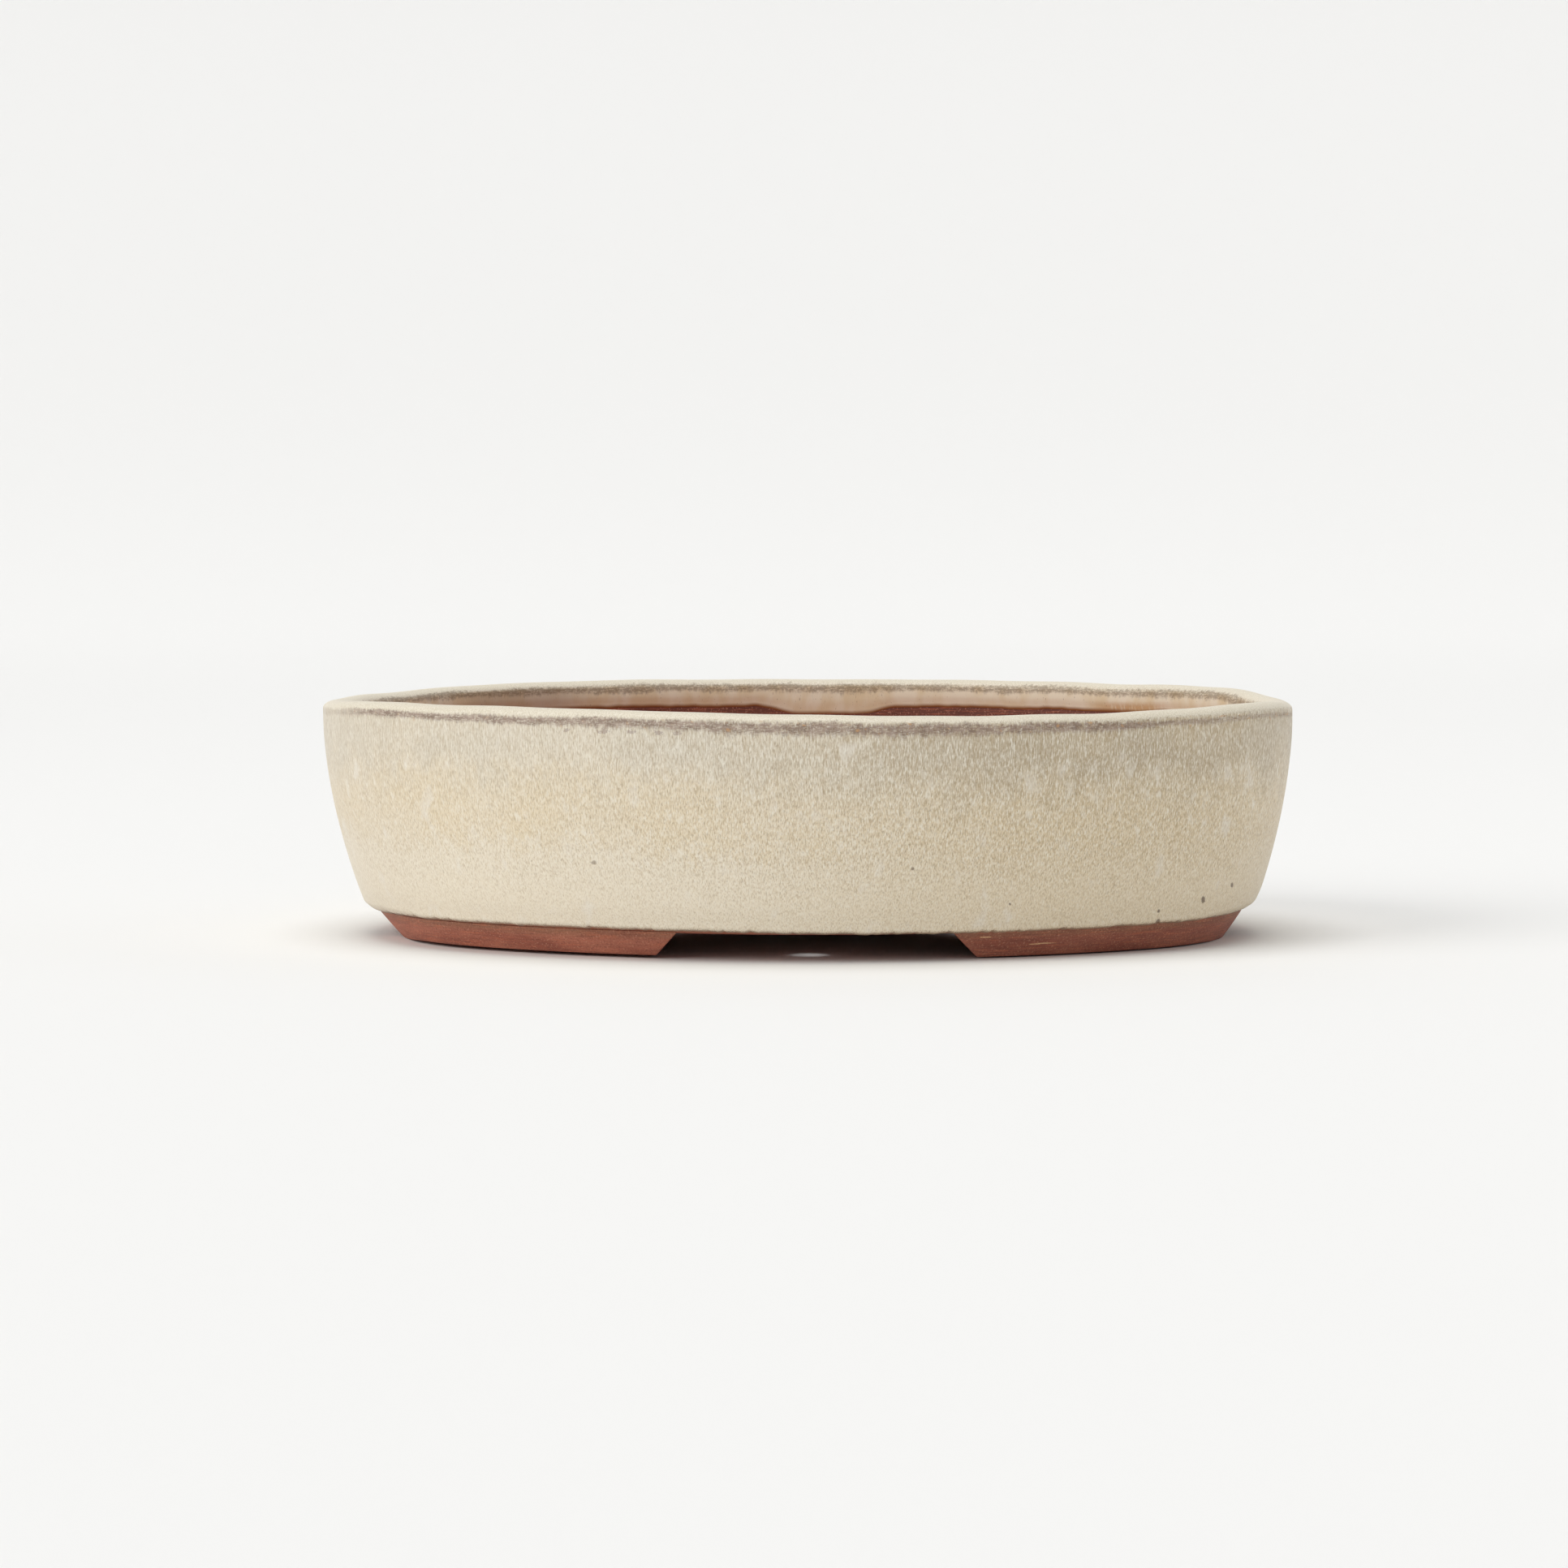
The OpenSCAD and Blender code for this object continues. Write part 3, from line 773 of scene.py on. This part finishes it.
def build_foot(name, x_side, y_side):
    """One foot: its section is carried along the plan between two slanted cuts with softened edges."""
    flat, lifted = foot_section(0.0), foot_section(FOOT_LIFT[x_side])
    centre = np.array([FOOT_BOTTOM_INSET + FOOT_W / 2, UNDER_Z / 2])
    toward = centre - lifted
    toward /= np.linalg.norm(toward, axis=1)[:, None]
    soft_r, columns = 0.5, 150
    ease = np.linspace(0, 1, 5)[:-1]
    shrink = soft_r * (1 - np.sqrt(1 - (1 - ease) ** 2))
    along = np.concatenate([ease * soft_r, np.full(columns, soft_r), (ease * soft_r)[::-1]])
    shrink = np.concatenate([shrink, np.zeros(columns), shrink[::-1]])
    share = np.concatenate([np.zeros(len(ease)), np.linspace(0, 1, columns), np.ones(len(ease))])
    from_end = smooth_step(0.0, 0.4, share)[:, None, None]
    ring = flat + (lifted - flat) * from_end + toward[None] * shrink[:, None, None]
    z = ring[..., 1]
    inset = ring[..., 0] + FOOT_TUCK[x_side] * (1 - from_end[..., 0]) * np.clip(1 - z / UNDER_Z, 0, 1)
    lean = CUT_LEAN * (UNDER_Z - z) / UNDER_Z
    end_r, side_r = END_R - inset, SIDE_R - inset
    first = np.arcsin((END_GAP_TOP + lean) / end_r) + along[:, None] / end_r
    last = np.arccos((LONG_GAP_TOP + FOOT_CUT[x_side] + lean) / side_r) - along[:, None] / side_r
    x, y = plan_point(first + (last - first) * share[:, None], inset)
    points = np.stack([x * x_side, y * y_side, z], 2)
    rows, count = x.shape
    faces = grid_faces(rows, count, False, True)
    faces.append(list(range(count))[::-1])
    faces.append([(rows - 1) * count + k for k in range(count)])
    if x_side * y_side < 0:
        faces = [face[::-1] for face in faces]
    piece = new_object(name + "_piece", hand_made(points).reshape(-1, 3), faces)
    finish_piece(piece, CLAY, "red_stoneware", name)


def circle(x, y, radius, count):
    """Points round a circle."""
    turn = np.linspace(0, 2 * math.pi, count, endpoint=False)
    return np.stack([x + radius * np.cos(turn), y + radius * np.sin(turn)], 1)


def build_floor():
    """The floor slab with its drain holes and tie-wire holes, whose edges are softened."""
    # The slab reaches a little way into the wall, which leans, so that no crack opens between them.
    x, y = plan_point(plan_angles(240), SLAB_INSET - 1.2)
    outlines = [np.stack([x, y], 1)]
    for side in (-1, 1):
        outlines.append(circle(side * DRAIN_X, 0, DRAIN_R, 64))
        outlines.append(circle(0, side * TIE_Y, TIE_R, 40))
    work = bmesh.new()
    for outline in outlines:
        corners = [work.verts.new((px * MM, py * MM, FLOOR_Z * MM)) for px, py in outline]
        for i, corner in enumerate(corners):
            work.edges.new((corner, corners[(i + 1) % len(corners)]))
    bmesh.ops.triangle_fill(work, edges=work.edges[:], use_beauty=True)
    grown = bmesh.ops.extrude_face_region(work, geom=work.faces[:])
    for item in grown["geom"]:
        if isinstance(item, bmesh.types.BMVert):
            item.co.z = UNDER_Z * MM
    bmesh.ops.recalc_face_normals(work, faces=work.faces[:])

    # The slab's own outer edge is left sharp, because it is hidden in the wall.
    inner_plan = (HALF_W - SLAB_INSET - 2) * MM
    hole_edges = [e for e in work.edges if e.calc_face_angle() > 1.0
                  and np.hypot(e.verts[0].co.x / 1.4, e.verts[0].co.y) < inner_plan]
    bmesh.ops.bevel(work, geom=hole_edges, offset=0.7 * MM, segments=4, profile=0.5, affect="EDGES")

    # The order of corners and faces would change from run to run, so they are put in a fixed one.
    order = Vector((1.0, 0.31, 0.017))
    work.verts.sort(key=lambda vert: vert.co.dot(order))
    work.faces.sort(key=lambda face: face.calc_center_median().dot(order))
    mesh = bpy.data.meshes.new("floor_slab_piece")
    work.to_mesh(mesh)
    work.free()
    mesh.polygons.foreach_set("use_smooth", [True] * len(mesh.polygons))
    mesh.set_sharp_from_angle(angle=math.radians(40))
    piece = bpy.data.objects.new("floor_slab_piece", mesh)
    bpy.context.scene.collection.objects.link(piece)
    finish_piece(piece, CLAY, "red_stoneware", "floor_slab")


def build_mesh(name, x_side):
    """Plastic net: one layer of round strands laid across another."""
    size = mesh_high.x - mesh_low.x
    low_layer, high_layer = FLOOR_Z + 0.5, FLOOR_Z + 1.1
    along = np.linspace(-size / 2 + 0.3, size / 2 - 0.3, 60)
    parts = []
    rng = np.random.default_rng(7)
    for place in np.arange(-size / 2 + STRAND_R, size / 2, MESH_PITCH):
        for across in (False, True):
            wave = 0.05 * np.sin(along / MESH_PITCH * 2 * math.pi + rng.uniform(0, 0.6))
            strand = place + (wave + rng.normal(0, 0.03))
            height = np.full(len(along), low_layer if across else high_layer)
            path = np.stack([along, strand, height] if across else [strand, along, height], 1)
            path[:, 0] += x_side * DRAIN_X
            parts.append(tube(path, STRAND_R, sides=10))
    piece = joined(name + "_piece", parts)
    finish_piece(piece, PLASTIC, "mesh_plastic", name)


def build_clip(name, x_side):
    """Wire clip: a bar across the hole, a flat loop at each end, legs down the hole and toes below."""
    leg = MESH_PITCH
    loop_r = leg + WIRE_BEND
    loop_x = leg + loop_r
    bar_z = clip_high.z - WIRE_R
    toe_z = clip_low.z + WIRE_R
    toe_reach = clip_high.y
    loop = np.radians(np.linspace(-90, 180, 40))
    bend = np.radians(np.linspace(0, 90, 9))
    bar = np.array([[x, 0, bar_z] for x in np.linspace(0.3, loop_x - 0.3, 10)])
    flat_loop = np.stack([loop_x + loop_r * np.cos(loop), loop_r + loop_r * np.sin(loop),
                          np.full(len(loop), bar_z)], 1)
    upper_bend = np.stack([np.full(len(bend), leg), loop_r - WIRE_BEND * np.sin(bend),
                           bar_z - WIRE_BEND * (1 - np.cos(bend))], 1)[1:]
    down = np.array([[leg, leg, z] for z in np.linspace(bar_z - WIRE_BEND, toe_z + WIRE_BEND, 8)[1:-1]])
    lower_bend = np.stack([np.full(len(bend), leg), leg + WIRE_BEND * (1 - np.cos(bend)),
                           toe_z + WIRE_BEND * (1 - np.sin(bend))], 1)
    toe = np.array([[leg, y, toe_z] for y in np.linspace(leg + WIRE_BEND, toe_reach, 10)[1:]])
    half = np.concatenate([bar, flat_loop, upper_bend, down, lower_bend, toe])
    other = half[::-1] * [-1, -1, 1]
    path = np.concatenate([other, half])
    path[:, 0] += x_side * DRAIN_X
    piece = joined(name + "_piece", [tube(path, WIRE_R, sides=16)])
    finish_piece(piece, WIRE, "aluminium_wire", name)


build_glaze()
build_wall()
for x_side, x_name in ((-1, "left"), (1, "right")):
    for y_side, y_name in ((-1, "front"), (1, "back")):
        build_foot(f"foot_{y_name}_{x_name}", x_side, y_side)
    build_mesh(f"drain_mesh_{x_name}", x_side)
    build_clip(f"mesh_clip_{x_name}", x_side)
build_floor()


# ---------------------------------------------------------------- floor, light and camera
PAPER_NEAR, PAPER_FAR = (0.866, 0.866, 0.858, 1), (0.82, 0.82, 0.813, 1)
PAPER_HIGH = (0.878, 0.878, 0.872, 1)


def build_stage():
    """A plain pale floor that curves up into a backdrop far behind the pot. Its sizes are in metres."""
    floor_front, floor_back, curve_r, wall_top, half = -4.0, 1.6, 1.2, 4.0, 6.0
    turn = np.linspace(0, math.pi / 2, 24)
    line = [(floor_front, 0.0)]
    line += [(floor_back + curve_r * math.sin(t), curve_r * (1 - math.cos(t))) for t in turn]
    line.append((floor_back + curve_r, wall_top))
    points = [(x / MM, y / MM, z / MM) for y, z in line for x in (-half, half)]
    floor = new_object("studio_floor", points, grid_faces(len(line), 2, False, False))
    made, tree, shader = new_material("studio_white")
    position = axes(tree, millimetres(tree))
    back, up = position[1], position[2]
    paper = blend(tree, spread(tree, back, 50.0, 1200.0), PAPER_NEAR, PAPER_FAR)
    paper = blend(tree, spread(tree, up, 50.0, 400.0), paper, PAPER_HIGH)
    tree.links.new(paper, shader.inputs["Base Color"])
    shader.inputs["Roughness"].default_value = 0.9
    shader.inputs["Specular IOR Level"].default_value = 0.1
    floor.data.materials.append(made)


def add_camera():
    """A long lens a little above the pot, level in roll, at the height that shows the back rim."""
    data = bpy.data.cameras.new("camera")
    data.sensor_width = 36.0
    data.lens = 133.3
    data.clip_start, data.clip_end = 0.05, 50.0
    camera = bpy.data.objects.new("camera", data)
    bpy.context.scene.collection.objects.link(camera)
    camera.location = (0.0, -1.319, 0.1228)
    pitch_down, turn_left = 0.0673, 0.0042
    camera.rotation_euler = (math.pi / 2 - pitch_down, 0.0, turn_left)
    bpy.context.scene.camera = camera


def add_sun(name, toward_light, strength, spread_angle, colour):
    """A very soft far light from a direction."""
    data = bpy.data.lights.new(name, "SUN")
    data.energy = strength
    data.angle = spread_angle
    data.color = colour
    lamp = bpy.data.objects.new(name, data)
    bpy.context.scene.collection.objects.link(lamp)
    lamp.rotation_euler = Vector(toward_light).to_track_quat("Z", "Y").to_euler()


def add_air(strength):
    """Even white light from all around."""
    world = bpy.data.worlds.new("studio_air")
    bpy.context.scene.world = world
    world.use_nodes = True
    world.node_tree.nodes["Background"].inputs["Color"].default_value = (1.0, 1.0, 1.0, 1.0)
    world.node_tree.nodes["Background"].inputs["Strength"].default_value = strength


build_stage()
add_sun("left_softbox", (-0.75, -0.45, 0.52), 1.22, 0.7, (1.0, 0.985, 0.96))
add_sun("top_softbox", (-0.05, -0.05, 1.0), 1.2, 0.7, (1.0, 1.0, 1.0))
add_sun("right_glow", (0.9, 0.25, 0.3), 0.3, 0.9, (1.0, 1.0, 1.0))
add_air(0.43)
add_camera()
bpy.context.scene.view_settings.view_transform = "Standard"
